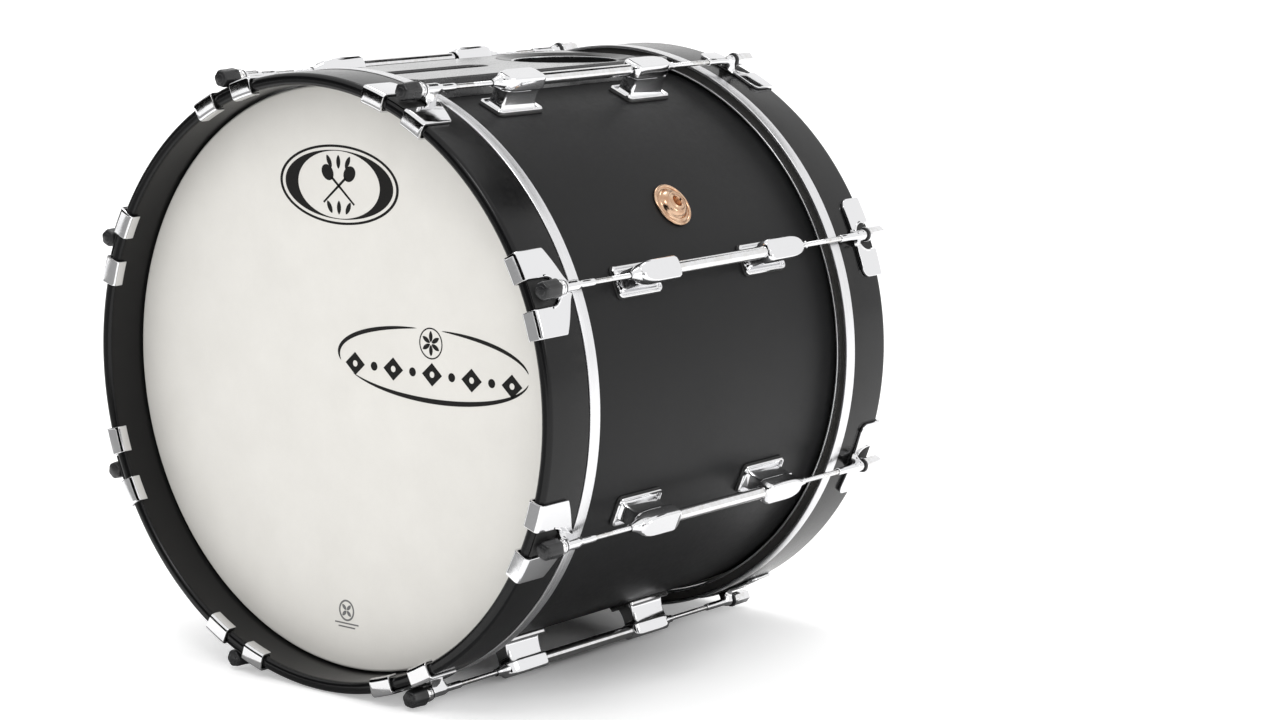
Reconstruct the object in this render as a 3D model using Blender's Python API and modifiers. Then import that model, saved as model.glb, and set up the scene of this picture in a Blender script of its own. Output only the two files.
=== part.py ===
"""Bass drum, 22 inches across and 17 inches deep, built from its separate parts.

The drum's axis lies along Y and the front head faces -Y. The floor is z = 0, where the
caps of the four lowest lugs stand. A depth is measured inwards from a hoop's outer edge.
"""
import math

import bmesh
import bpy
from mathutils import Matrix

# Driving dimensions, in metres
LENGTH = 0.5172             # outer edge of the front hoop to outer edge of the rear hoop
GAP = 0.0003                # clearance between two pieces that touch
RING_STEPS = 56             # facets round the drum
SEAT_STEPS = 120            # facets round the drum under the lugs and the deck
CLAW_STEPS = 90

SHELL_R = 0.277
SHELL_T = 0.007
HOOP_R = 0.293
HOOP_T = 0.012
HOOP_DEPTH = 0.0545
HOOP_ROUND = 0.005
BAND_R = 0.2938             # flesh hoop, a bright metal band between hoop and shell
BAND_INNER_R = 0.2803
BAND_WIDTH = 0.0138
BAND_GROOVE = 0.004
HEAD_DEPTH = 0.0422
HEAD_R = 0.2797
HEAD_T = 0.0005
COLLAR = 0.016
BEARING_BEVEL = 0.0045

STATIONS = 8                # lugs, and claws at each end
FIRST_ANGLE = math.radians(22.5)
ROD_LINE_R = 0.305          # axis of the rods and lug tubes
ROD_R = 0.0025
ROD_BORE_R = 0.003
ROD_END_DEPTH = 0.175
ROD_HEAD_START = 0.003
ROD_FLANGE_DEPTH = 0.031
ROD_FLANGE_T = 0.003
ROD_FLANGE_R = 0.0075
ROD_HEX_R = 0.0069

CLAW_HALF = 0.0405          # half the claw's width round the hoop
CLAW_T = 0.003
CLAW_HOOK_T = 0.0025
CLAW_LIP = 0.009
CLAW_SQUARE = 0.034         # depth where the claw starts to taper
CLAW_END = 0.052
CLAW_TIP_HALF = 0.006
WINDOW_HALF = 0.0135
WINDOW_DEPTH = 0.0355
BOSS_R = 0.0054
BOSS_END = 0.051
NOSE_END = 0.074
NOSE_R = 0.0036
REAR_SHIFT = 0.0058         # the rear rods sit this much further out than the front ones
REAR_END = 0.0295
REAR_CORNER = 0.010
REAR_WINDOW = 0.0245
REAR_BOSS_END = 0.040
REAR_NOSE_END = 0.066

LUG_SPAN = 0.0955           # mid-depth to the middle of a lug's pedestal
TUBE_R = 0.0059
FERRULE_R = 0.0040
FERRULE_END = 0.1345
BASE_LONG = 0.062
BASE_WIDE = 0.030
BASE_TOP_R = 0.281
NECK_TOP_R = 0.298
CAP_R = 0.313
CAP_UNDER_R = 0.297
CAP_LONG = 0.058
CAP_HALF = 0.011
BORE_DEPTH = 0.055

DECK_TOP = 0.286            # flat top of the deck above the drum's axis
DECK_HALF_WIDE = 0.075
DECK_HALF_LONG = 0.186
DECK_CORNER = 0.010
SLOT_START = -0.1786
SLOT_END = -0.0146
SLOT_HALF = 0.013
DISH_Y = 0.109
DISH_R = 0.0695
DISH_BOWL_R = 0.0525
DISH_LEDGE = 0.2818         # where the bright ring sits inside the flared wall
DISH_FLOOR = 0.262
DISH_SHELL_HOLE_R = 0.060
DECK_SCREW_ANGLE = math.radians(10.3)
DECK_SCREW_YS = (-0.100, 0.010)
DECK_SCREW_R = 0.0024
SCREW_HOLE_R = 0.0028

VENT_ANGLE = math.radians(36.0)
VENT_BORE_R = 0.005
VENT_TUBE_R = 0.0067
VENT_FLANGE_R = 0.0225
VENT_HOLE_R = 0.0071
VENT_HEIGHT = 0.009

# Worked out from the driving dimensions
HALF = LENGTH / 2
AXIS_HEIGHT = BAND_R
SEAT_R = SHELL_R + GAP
TO_AXIS = Matrix.Translation((0, 0, AXIS_HEIGHT))
FRONT = Matrix.Identity(4)
REAR = Matrix.Rotation(math.pi, 4, "Z")
ALONG_Y = Matrix.Rotation(-math.pi / 2, 4, "X")
# An outline drawn as (depth, width) and extruded along the radius
ALONG_RADIUS = Matrix(((0, 0, 1, 0), (1, 0, 0, 0), (0, 1, 0, 0), (0, 0, 0, 1)))


def clear_scene():
    for old in list(bpy.data.objects):
        bpy.data.objects.remove(old, do_unlink=True)


def new_collection(name):
    made = bpy.data.collections.new(name)
    bpy.context.scene.collection.children.link(made)
    return made


clear_scene()
PARTS = new_collection("bass_drum")
CUTTERS = new_collection("cutters")


def material(name, colour, roughness, metallic=0.0):
    made = bpy.data.materials.new(name)
    made.use_nodes = True
    surface = made.node_tree.nodes["Principled BSDF"]
    surface.inputs["Base Color"].default_value = (*colour, 1)
    surface.inputs["Roughness"].default_value = roughness
    surface.inputs["Metallic"].default_value = metallic
    return made


SATIN_BLACK = material("satin_black", (0.018, 0.018, 0.019), 0.42)
GLOSS_BLACK = material("gloss_black", (0.010, 0.010, 0.011), 0.18)
CHROME = material("chrome", (0.82, 0.82, 0.83), 0.08, 1.0)
ALUMINIUM = material("aluminium", (0.72, 0.72, 0.73), 0.30, 1.0)
HEAD_FILM = material("coated_film", (0.76, 0.74, 0.69), 0.60)
BRASS = material("brass", (0.62, 0.36, 0.20), 0.25, 1.0)
STEEL = material("plated_steel", (0.45, 0.45, 0.46), 0.35, 1.0)


def piece(name, mesh, surface, place=FRONT):
    """A node of the drum, standing where place puts it relative to the drum's axis."""
    made = bpy.data.objects.new(name, mesh)
    PARTS.objects.link(made)
    made.matrix_world = TO_AXIS @ place
    mesh.materials.clear()
    mesh.materials.append(surface)
    return made


def tool(mesh, place=FRONT):
    """A cutter, or a rough shape that is finished before it becomes a piece."""
    made = bpy.data.objects.new("cutter", mesh)
    CUTTERS.objects.link(made)
    made.matrix_world = place
    made.hide_render = True
    made.display_type = "WIRE"
    return made


def finished(rough):
    """The rough object's mesh with its place and modifiers applied; the object is removed."""
    bpy.context.view_layer.update()
    mesh = bpy.data.meshes.new_from_object(rough.evaluated_get(bpy.context.evaluated_depsgraph_get()))
    mesh.transform(rough.matrix_world)
    bpy.data.objects.remove(rough, do_unlink=True)
    cleaned = bmesh.new()
    cleaned.from_mesh(mesh)
    bmesh.ops.remove_doubles(cleaned, verts=cleaned.verts, dist=1e-6)
    cleaned.to_mesh(mesh)
    cleaned.free()
    return mesh


def cylinder(radius, start, end, steps, place=ALONG_Y, end_radius=None):
    """A cylinder or cone from start to end along its own Z, which place turns."""
    mesh = bpy.data.meshes.new("cylinder")
    shape = bmesh.new()
    bmesh.ops.create_cone(shape, cap_ends=True, segments=steps, radius1=radius,
                          radius2=radius if end_radius is None else end_radius, depth=end - start,
                          matrix=Matrix.Translation((0, 0, (start + end) / 2)))
    shape.to_mesh(mesh)
    shape.free()
    mesh.transform(place)
    return mesh


def block(size, centre, top_size=None):
    """A box of size (x, y, z); top_size gives its +X face another (y, z), as on a pyramid."""
    mesh = bpy.data.meshes.new("block")
    shape = bmesh.new()
    bmesh.ops.create_cube(shape, size=1.0)
    for vertex in shape.verts:
        face = top_size if top_size and vertex.co.x > 0 else size[1:]
        vertex.co = (vertex.co.x * size[0], vertex.co.y * face[0], vertex.co.z * face[1])
    bmesh.ops.translate(shape, verts=shape.verts, vec=centre)
    shape.to_mesh(mesh)
    shape.free()
    return mesh


def prism(outline, start, end, place):
    """A flat outline, extruded from start to end along its own Z, which place turns."""
    curve = bpy.data.curves.new("outline", "CURVE")
    curve.dimensions = "2D"
    curve.fill_mode = "BOTH"
    curve.extrude = (end - start) / 2
    line = curve.splines.new("POLY")
    line.points.add(len(outline) - 1)
    for point, (across, along) in zip(line.points, outline):
        point.co = (across, along, 0, 1)
    line.use_cyclic_u = True
    rough = bpy.data.objects.new("outline", curve)
    CUTTERS.objects.link(rough)
    rough.matrix_world = place @ Matrix.Translation((0, 0, (start + end) / 2))
    return finished(rough)


def turned(outline, steps, axis="Y"):
    """A closed outline of (radius, height) points, turned right round the axis."""
    mesh = bpy.data.meshes.new("profile")
    lifted = [(r, h, 0) if axis == "Y" else (r, 0, h) for r, h in outline]
    closed = outline[0][0] > 0
    count = len(outline)
    edges = [(i, (i + 1) % count) for i in range(count if closed else count - 1)]
    mesh.from_pydata(lifted, edges, [])
    rough = tool(mesh)
    screw = rough.modifiers.new("turn", "SCREW")
    screw.axis = axis
    screw.steps = steps
    screw.render_steps = steps
    screw.use_merge_vertices = True
    screw.merge_threshold = 0.00001
    solid = finished(rough)
    outward = bmesh.new()
    outward.from_mesh(solid)
    bmesh.ops.recalc_face_normals(outward, faces=outward.faces)
    outward.to_mesh(solid)
    outward.free()
    return solid


def combined(mesh, changes):
    """The mesh after a list of (operation, mesh) booleans."""
    rough = tool(mesh)
    others = []
    for operation, other in changes:
        cutter = tool(other)
        others.append(cutter)
        step = rough.modifiers.new(operation.lower(), "BOOLEAN")
        step.operation = operation
        step.solver = "EXACT"
        step.object = cutter
    made = finished(rough)
    for cutter in others:
        bpy.data.objects.remove(cutter, do_unlink=True)
    return made


def arc(centre, radius, start, end, steps):
    """Points on an arc, angles in degrees."""
    angles = [math.radians(start + (end - start) * i / steps) for i in range(steps + 1)]
    return [(centre[0] + radius * math.cos(a), centre[1] + radius * math.sin(a)) for a in angles]


def outward_from_axis(angle, along=0.0):
    """Turns a shape's Z to point out from the drum's axis at the angle, at a place along Y."""
    return Matrix.Translation((0, along, 0)) @ Matrix.Rotation(math.pi / 2 - angle, 4, "Y")


def at_station(index):
    """Turns a shape drawn at +X to the station's angle round the drum."""
    return Matrix.Rotation(-(FIRST_ANGLE + index * math.tau / STATIONS), 4, "Y")


def deck_screw_places():
    return [outward_from_axis(math.pi / 2 + side * DECK_SCREW_ANGLE, along)
            for along in DECK_SCREW_YS for side in (-1, 1)]


def shell():
    outer_end = HALF - HEAD_DEPTH - HEAD_T - GAP
    inner_r = SHELL_R - SHELL_T
    crest_r = inner_r + BEARING_BEVEL
    outline = [(SHELL_R, outer_end - 0.0015), (SHELL_R, -outer_end + 0.0015), (crest_r, -outer_end),
               (inner_r, -outer_end + BEARING_BEVEL), (inner_r, outer_end - BEARING_BEVEL),
               (crest_r, outer_end)]
    holes = [cylinder(VENT_HOLE_R, 0.2, 0.3, 16, outward_from_axis(VENT_ANGLE)),
             cylinder(DISH_SHELL_HOLE_R, 0.2, 0.3, 48, outward_from_axis(math.pi / 2, DISH_Y))]
    holes += [cylinder(SCREW_HOLE_R, 0.2, 0.3, 10, place) for place in deck_screw_places()]
    mesh = combined(turned(outline, RING_STEPS), [("DIFFERENCE", hole) for hole in holes])
    piece("shell", mesh, SATIN_BLACK)


def end_rings():
    """The hoop, flesh hoop and head of each end, which share their meshes."""
    inner_r = HOOP_R - HOOP_T
    edge = -HALF
    outline = arc((HOOP_R - HOOP_ROUND, edge + HOOP_ROUND), HOOP_ROUND, 0, -90, 2)
    outline += arc((inner_r + HOOP_ROUND, edge + HOOP_ROUND), HOOP_ROUND, -90, -180, 2)
    outline += [(inner_r, edge + HOOP_DEPTH), (HOOP_R, edge + HOOP_DEPTH)]
    hoop = turned(outline, RING_STEPS)

    start = edge + HOOP_DEPTH + GAP
    end = start + BAND_WIDTH
    groove = end - BAND_GROOVE
    outline = [(BAND_R, start), (BAND_INNER_R, start), (BAND_INNER_R, end), (BAND_INNER_R + 0.003, end),
               (BAND_INNER_R + 0.003, groove), (BAND_R - 0.003, groove), (BAND_R - 0.003, end), (BAND_R, end)]
    band = turned(outline, RING_STEPS)

    film = edge + HEAD_DEPTH
    bend = 0.003
    outline = [(0, film), (HEAD_R - bend, film), (HEAD_R, film + bend), (HEAD_R, film + COLLAR),
               (HEAD_R - HEAD_T, film + COLLAR), (HEAD_R - HEAD_T, film + bend + HEAD_T / 2),
               (HEAD_R - bend - HEAD_T / 2, film + HEAD_T), (0, film + HEAD_T)]
    head = turned(outline, RING_STEPS)

    for end_name, place in (("front", FRONT), ("rear", REAR)):
        piece(end_name + "_hoop", hoop, GLOSS_BLACK, place)
        piece(end_name + "_flesh_hoop", band, ALUMINIUM, place)
        piece(end_name + "_head", head, HEAD_FILM, place)


def pedestal(middle):
    """A lug's foot on the shell, its neck and its cap round the tube, as booleans to add."""
    cap_flat = CAP_LONG / 2 - CAP_HALF
    outline = arc((middle + cap_flat, 0), CAP_HALF, -90, 90, 3)
    outline += arc((middle - cap_flat, 0), CAP_HALF, 90, 270, 3)
    base_bottom_r = SHELL_R - 0.003
    base_mid = (base_bottom_r + BASE_TOP_R) / 2
    neck_high = NECK_TOP_R - BASE_TOP_R + 0.001
    return [block((BASE_TOP_R - base_bottom_r, BASE_LONG, BASE_WIDE), (base_mid, middle, 0)),
            block((neck_high, BASE_LONG * 0.82, BASE_WIDE * 0.72),
                  (NECK_TOP_R - neck_high / 2, middle, 0), (CAP_LONG * 0.62, CAP_HALF * 1.3)),
            prism(outline, CAP_UNDER_R, CAP_R, ALONG_RADIUS)]


def lugs():
    """Tube lugs: a tube between two pedestals, with a threaded bore in each end."""
    on_rod_line = Matrix.Translation((ROD_LINE_R, 0, 0)) @ ALONG_Y
    tube_end = LUG_SPAN + CAP_LONG / 2
    changes = [("UNION", shape) for middle in (-LUG_SPAN, LUG_SPAN) for shape in pedestal(middle)]
    for turn in (FRONT, Matrix.Rotation(math.pi, 4, "X")):
        changes.append(("UNION", cylinder(TUBE_R, tube_end - 0.002, FERRULE_END, 10,
                                          on_rod_line @ turn, FERRULE_R)))
    for turn in (FRONT, Matrix.Rotation(math.pi, 4, "X")):
        changes.append(("DIFFERENCE", cylinder(ROD_BORE_R, FERRULE_END - BORE_DEPTH, FERRULE_END + 0.001, 10,
                                               on_rod_line @ turn)))
    changes.append(("DIFFERENCE", cylinder(SEAT_R, -HALF, HALF, SEAT_STEPS)))
    mesh = combined(cylinder(TUBE_R, -tube_end + 0.001, tube_end - 0.001, 10, on_rod_line), changes)
    for index in range(STATIONS):
        piece(f"lug_{index + 1}", mesh, CHROME, at_station(index))


def front_claw_outline(edge, outside):
    """A front claw's plate seen from above: square over the hoop, drawn in to a tip behind."""
    end = edge + CLAW_END + 0.001
    return [(outside, CLAW_HALF), (edge + CLAW_SQUARE, CLAW_HALF), (end, CLAW_TIP_HALF),
            (end, -CLAW_TIP_HALF), (edge + CLAW_SQUARE, -CLAW_HALF), (outside, -CLAW_HALF)]


def rear_claw_outline(edge, outside):
    """A rear claw's plate seen from above: a short oblong with round inner corners."""
    along = edge + REAR_END - REAR_CORNER
    wide = CLAW_HALF - REAR_CORNER
    return ([(outside, CLAW_HALF)] + arc((along, wide), REAR_CORNER, 90, 0, 4)
            + arc((along, -wide), REAR_CORNER, 0, -90, 4) + [(outside, -CLAW_HALF)])


def claw_mesh(plate_outline, plate_end, window_end, boss_start, boss_end, nose_end):
    """A claw about the rod's axis, on the front end: two hooks, a plate and a nose for the rod."""
    edge = -HALF
    plate_in = HOOP_R + GAP
    plate_out = plate_in + CLAW_T
    lip_out = HOOP_R - HOOP_T - 2 * GAP
    lip_in = lip_out - CLAW_HOOK_T
    front = edge - GAP - CLAW_HOOK_T
    hook = [(plate_out, edge + plate_end + 0.0005), (plate_out, front + 0.002), (plate_out - 0.002, front),
            (lip_in + 0.002, front), (lip_in, front + 0.002), (lip_in, edge + CLAW_LIP),
            (lip_out, edge + CLAW_LIP), (lip_out, edge - GAP), (plate_in, edge - GAP),
            (plate_in, edge + plate_end + 0.0005)]
    outside = front - 0.002
    outline = plate_outline(edge, outside) + [(outside, -WINDOW_HALF)]
    outline += arc((edge + window_end - WINDOW_HALF, 0), WINDOW_HALF, -90, 90, 4)
    outline += [(outside, WINDOW_HALF)]
    web_start = edge + max(window_end + 0.0005, boss_start + 0.0005)
    web_end = edge + plate_end - 0.0005
    on_rod_line = Matrix.Translation((ROD_LINE_R, 0, 0)) @ ALONG_Y
    changes = [("INTERSECT", prism(outline, HOOP_R - 0.03, HOOP_R + 0.02, ALONG_RADIUS)),
               ("UNION", block((ROD_LINE_R - plate_in - 0.001, web_end - web_start, 2 * BOSS_R - 0.001),
                               ((ROD_LINE_R + plate_in + 0.001) / 2, (web_start + web_end) / 2, 0))),
               ("UNION", cylinder(BOSS_R, edge + boss_start, edge + boss_end, 10, on_rod_line)),
               ("UNION", cylinder(BOSS_R, edge + boss_end - 0.0005, edge + nose_end, 10, on_rod_line, NOSE_R)),
               ("DIFFERENCE", cylinder(ROD_BORE_R, edge, edge + nose_end + 0.01, 10, on_rod_line))]
    mesh = combined(turned(hook, CLAW_STEPS), changes)
    mesh.transform(Matrix.Translation((-ROD_LINE_R, 0, 0)))
    return mesh


def rod_mesh():
    """A tension rod of the front end, about its own axis: hexagon head, flange and threaded stem."""
    edge = -HALF
    flange = edge + ROD_FLANGE_DEPTH
    return combined(cylinder(ROD_R, flange - 0.001, edge + ROD_END_DEPTH, 8),
                    [("UNION", cylinder(ROD_FLANGE_R, flange - ROD_FLANGE_T, flange, 12)),
                     ("UNION", cylinder(ROD_HEX_R, edge + ROD_HEAD_START, flange - ROD_FLANGE_T + 0.0005, 6))])


def claws_and_rods():
    rod = rod_mesh()
    boss_start = ROD_FLANGE_DEPTH + GAP
    front = claw_mesh(front_claw_outline, CLAW_END, WINDOW_DEPTH, boss_start, BOSS_END, NOSE_END)
    rear = claw_mesh(rear_claw_outline, REAR_END, REAR_WINDOW, boss_start - REAR_SHIFT, REAR_BOSS_END, REAR_NOSE_END)
    on_rod_line = Matrix.Translation((ROD_LINE_R, 0, 0))
    turned_over = Matrix.Rotation(math.pi, 4, "X")
    for end_name, claw, turn, shift in (("front", front, FRONT, 0), ("rear", rear, turned_over, REAR_SHIFT)):
        for index in range(STATIONS):
            place = at_station(index) @ on_rod_line @ turn
            piece(f"{end_name}_claw_{index + 1}", claw, CHROME, place)
            piece(f"{end_name}_rod_{index + 1}", rod, CHROME, place @ Matrix.Translation((0, -shift, 0)))


def deck():
    """The raised deck along the top of the shell, with its long slot and round dish opening."""
    wide = DECK_HALF_WIDE - DECK_CORNER
    long = DECK_HALF_LONG - DECK_CORNER
    outline = []
    for quarter, (x, y) in enumerate(((wide, long), (-wide, long), (-wide, -long), (wide, -long))):
        outline += arc((x, y), DECK_CORNER, 90 * quarter, 90 * quarter + 90, 4)
    slot = arc((0, SLOT_END - SLOT_HALF), SLOT_HALF, 0, 180, 8)
    slot += arc((0, SLOT_START + SLOT_HALF), SLOT_HALF, 180, 360, 8)
    holes = [cylinder(SEAT_R, -HALF, HALF, SEAT_STEPS),
             cylinder(DISH_R + 0.0004, 0.2, 0.3, 48, outward_from_axis(math.pi / 2, DISH_Y)),
             prism(slot, 0.25, 0.30, FRONT)]
    holes += [cylinder(SCREW_HOLE_R, 0.27, 0.2835, 10, place) for place in deck_screw_places()]
    mesh = combined(prism(outline, 0.262, DECK_TOP, FRONT), [("DIFFERENCE", hole) for hole in holes])
    piece("top_deck", mesh, SATIN_BLACK)

    head_top = SHELL_R - SHELL_T - 0.0008
    outline = [(0, 0.2815), (DECK_SCREW_R, 0.2815), (DECK_SCREW_R, head_top), (0.0055, head_top),
               (0.0055, head_top - 0.0012), (0.0035, head_top - 0.0028), (0, head_top - 0.0028)]
    screw = turned(outline, 10, "Z")
    for index, place in enumerate(deck_screw_places()):
        piece(f"deck_screw_{index + 1}", screw, STEEL, place)


def dish():
    """The round dish let into the deck: a cup with a flared wall, and a bright ring inside it."""
    wall = 0.0016
    outline = [(0, DISH_FLOOR), (DISH_BOWL_R, DISH_FLOOR), (DISH_BOWL_R, DISH_LEDGE), (DISH_BOWL_R + 0.0026, DISH_LEDGE),
               (DISH_BOWL_R + 0.0026, DISH_LEDGE + 0.0008), (DISH_R - 0.001, DECK_TOP), (DISH_R, DECK_TOP),
               (DISH_R, DECK_TOP - wall), (DISH_BOWL_R + 0.0034, DISH_LEDGE - 0.001),
               (DISH_BOWL_R + wall, DISH_LEDGE - 0.0017), (DISH_BOWL_R + wall, DISH_FLOOR - wall),
               (0, DISH_FLOOR - wall)]
    place = Matrix.Translation((0, DISH_Y, 0))
    piece("dish_cup", turned(outline, 48, "Z"), GLOSS_BLACK, place)
    inner_r = DISH_BOWL_R - 0.0006
    outer_r = DISH_BOWL_R + 0.0023
    top = DISH_LEDGE + 0.0018
    outline = [(outer_r, top), (outer_r, DISH_LEDGE + GAP), (inner_r, DISH_LEDGE + GAP), (inner_r, top)]
    piece("dish_ring", turned(outline, 48, "Z"), ALUMINIUM, place)


def vent():
    """The air vent: a domed brass grommet through the shell, held by a nut inside."""
    top = SHELL_R + VENT_HEIGHT
    outline = [(VENT_BORE_R, top - 0.0012), (VENT_BORE_R + 0.0015, top), (0.0100, top - 0.0008),
               (0.0130, top - 0.0035), (0.0142, SHELL_R + 0.0025), (VENT_FLANGE_R - 0.001, SHELL_R + 0.002),
               (VENT_FLANGE_R, SHELL_R + 0.0012), (VENT_FLANGE_R, SEAT_R), (VENT_TUBE_R, SEAT_R),
               (VENT_TUBE_R, SHELL_R - 0.014), (VENT_BORE_R, SHELL_R - 0.014)]
    place = outward_from_axis(VENT_ANGLE)
    piece("vent_grommet", turned(outline, 24, "Z"), BRASS, place)
    nut_top = SHELL_R - SHELL_T - 0.0009
    nut = combined(cylinder(0.012, nut_top - 0.004, nut_top, 6, FRONT),
                   [("DIFFERENCE", cylinder(VENT_HOLE_R, nut_top - 0.01, nut_top + 0.01, 16, FRONT))])
    piece("vent_nut", nut, BRASS, place)


shell()
end_rings()
lugs()
claws_and_rods()
deck()
dish()
vent()
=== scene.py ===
import math

import bmesh
import bpy
from mathutils import Matrix, Vector


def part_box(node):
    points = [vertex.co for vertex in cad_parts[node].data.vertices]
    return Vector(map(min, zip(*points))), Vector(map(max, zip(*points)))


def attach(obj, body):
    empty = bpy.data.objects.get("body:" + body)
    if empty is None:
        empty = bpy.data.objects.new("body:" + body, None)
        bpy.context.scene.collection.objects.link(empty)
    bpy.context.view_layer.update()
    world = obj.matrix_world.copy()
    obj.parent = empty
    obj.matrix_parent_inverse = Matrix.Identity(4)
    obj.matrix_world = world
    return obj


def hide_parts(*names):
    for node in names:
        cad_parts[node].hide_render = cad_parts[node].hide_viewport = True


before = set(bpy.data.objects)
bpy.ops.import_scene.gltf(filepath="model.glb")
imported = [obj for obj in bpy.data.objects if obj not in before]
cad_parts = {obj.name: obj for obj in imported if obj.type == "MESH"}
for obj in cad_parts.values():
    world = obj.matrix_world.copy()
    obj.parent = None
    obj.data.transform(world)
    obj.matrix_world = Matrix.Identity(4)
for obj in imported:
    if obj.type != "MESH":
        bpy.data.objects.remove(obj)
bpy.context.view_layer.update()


# --------------------
# Shell. A drum shell is a tube of maple plies with a bevelled bearing edge at each end, where
# the heads sit. It is sprayed in satin black lacquer that leaves a fine pebbled skin. Holes
# are cut for the air vent and the dish before it is sprayed.
shell_low, shell_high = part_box("shell")
axis_height = (shell_low[2] + shell_high[2]) / 2
shell_radius = (shell_high[2] - shell_low[2]) / 2
shell_end = shell_high[1]
shell_wall = 0.007
ply_count = 7
round_steps = 288
drum_axis = Matrix.Translation((0, 0, axis_height))
along_y = Matrix.Rotation(-math.pi / 2, 4, "X")
bore_start, bore_end = 0.2, 0.3
vent_hole = 0.0071
dish_hole = 0.060


def arc(centre, radius, start, end, steps):
    """Points on an arc, angles in degrees."""
    turns = [math.radians(start + (end - start) * i / steps) for i in range(steps + 1)]
    return [(centre[0] + radius * math.cos(a), centre[1] + radius * math.sin(a)) for a in turns]


def shifted(points, across, up):
    """Points moved to stand at a place in the outline."""
    return [(across + u, up + v) for u, v in points]


def eased(outline, radius, steps=3):
    """A closed outline with each corner rounded, as a file or a cloth wheel leaves it."""
    made = []
    count = len(outline)
    for i, corner in enumerate(outline):
        here = Vector(corner)
        back = Vector(outline[i - 1]) - here
        ahead = Vector(outline[(i + 1) % count]) - here
        reach = min(radius, back.length * 0.45, ahead.length * 0.45)
        start = here + back.normalized() * reach
        end = here + ahead.normalized() * reach
        for step in range(steps + 1):
            t = step / steps
            made.append(tuple((1 - t) ** 2 * start + 2 * t * (1 - t) * here + t ** 2 * end))
    return made


def turn_into(bench, outline, steps, place):
    """Turns a closed (radius, height) outline round Z on the bench, then puts it in place."""
    rings = []
    for step in range(steps):
        angle = math.tau * step / steps
        across, up = math.cos(angle), math.sin(angle)
        rings.append([bench.verts.new(place @ Vector((r * across, r * up, h))) for r, h in outline])
    for one, two in zip(rings, rings[1:] + rings[:1]):
        for i in range(len(one)):
            j = (i + 1) % len(one)
            bench.faces.new((one[i], two[i], two[j], one[j]))
    bmesh.ops.remove_doubles(bench, verts=[v for ring in rings for v in ring], dist=1e-7)


def skin_into(bench, loops, place=Matrix.Identity(4), bevel=0.0):
    """Skins a row of loops with the same number of points, closes both ends, eases its edges."""
    rings = [[bench.verts.new(place @ Vector(point)) for point in loop] for loop in loops]
    count = len(loops[0])
    faces = [bench.faces.new(tuple(reversed(rings[0]))), bench.faces.new(rings[-1])]
    for one, two in zip(rings, rings[1:]):
        for i in range(count):
            j = (i + 1) % count
            faces.append(bench.faces.new((one[i], one[j], two[j], two[i])))
    bmesh.ops.recalc_face_normals(bench, faces=faces)
    if bevel:
        edges = {edge for face in faces for edge in face.edges}
        sharp = [edge for edge in edges if edge.calc_face_angle(0) > math.radians(38)]
        bmesh.ops.bevel(bench, geom=sharp, offset=bevel, segments=2, profile=0.5, affect="EDGES", clamp_overlap=True)


def shaded(mesh, smooth=32):
    """The mesh, smooth shaded except across edges sharper than the angle."""
    mesh.shade_smooth()
    mesh.set_sharp_from_angle(angle=math.radians(smooth))
    return mesh


def off_the_bench(bench, name, smooth=32):
    """What was made on the bench, as a finished mesh."""
    mesh = bpy.data.meshes.new(name)
    bmesh.ops.remove_doubles(bench, verts=bench.verts, dist=1e-7)
    bmesh.ops.recalc_face_normals(bench, faces=bench.faces)
    bench.to_mesh(mesh)
    bench.free()
    return shaded(mesh, smooth)


def turned(name, outline, steps, place, smooth=32):
    """A single turned solid as a finished mesh."""
    bench = bmesh.new()
    turn_into(bench, outline, steps, place)
    return off_the_bench(bench, name, smooth)


def on_set(name, data):
    """A new object in the scene."""
    made = bpy.data.objects.new(name, data)
    bpy.context.scene.collection.objects.link(made)
    return made


def fitted(name, mesh, finish, body, nodes, place=None):
    """A finished piece, in place on its CAD body, standing for its CAD nodes."""
    piece = on_set(name, mesh)
    if place is not None:
        piece.matrix_world = place
    if finish.material.name not in mesh.materials:
        mesh.materials.append(finish.material)
    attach(piece, body)
    if nodes:
        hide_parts(*nodes)


def fitted_turned(name, outline, steps, place, finish, nodes, smooth=32):
    """A turned solid that stays on the drum."""
    fitted(name, turned(name, outline, steps, place, smooth), finish, "drum", nodes)


def group_start(name, inputs, outputs):
    """An empty shader group: inputs are numbers with their values, outputs have the kinds given."""
    tree = bpy.data.node_groups.new(name, "ShaderNodeTree")
    for label, value in inputs.items():
        tree.interface.new_socket(label, in_out="INPUT", socket_type="NodeSocketFloat").default_value = value
    for label, kind in outputs.items():
        tree.interface.new_socket(label, in_out="OUTPUT", socket_type=kind)
    return tree, tree.nodes.new("NodeGroupInput").outputs, tree.nodes.new("NodeGroupOutput").inputs


def plugged(tree, kind, values):
    """A node whose inputs are linked, or set to a number or a colour."""
    node = tree.nodes.new(kind)
    for label, value in values.items():
        if isinstance(value, tuple):
            node.inputs[label].default_value = (*value, 1)
        elif isinstance(value, (int, float)):
            node.inputs[label].default_value = value
        else:
            tree.links.new(value, node.inputs[label])
    return node


def maths(tree, operation, *values):
    """The result of a Math node."""
    node = plugged(tree, "ShaderNodeMath", dict(enumerate(values)))
    node.operation = operation
    return node.outputs[0]


def noise(tree, where, scale, detail=3.0, roughness=0.5):
    """A cloudy pattern from 0 to 1."""
    return plugged(tree, "ShaderNodeTexNoise", {"Vector": where, "Scale": scale, "Detail": detail,
                                                "Roughness": roughness}).outputs["Fac"]


def spread(tree, value, low, high, to_low, to_high):
    """Maps a range of values to another, and holds it there."""
    return plugged(tree, "ShaderNodeMapRange", {"Value": value, "From Min": low, "From Max": high,
                                                "To Min": to_low, "To Max": to_high}).outputs["Result"]


def bumped(tree, height, strength, distance):
    """A normal that follows a height."""
    return plugged(tree, "ShaderNodeBump", {"Strength": strength, "Distance": distance,
                                            "Height": height}).outputs["Normal"]


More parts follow.
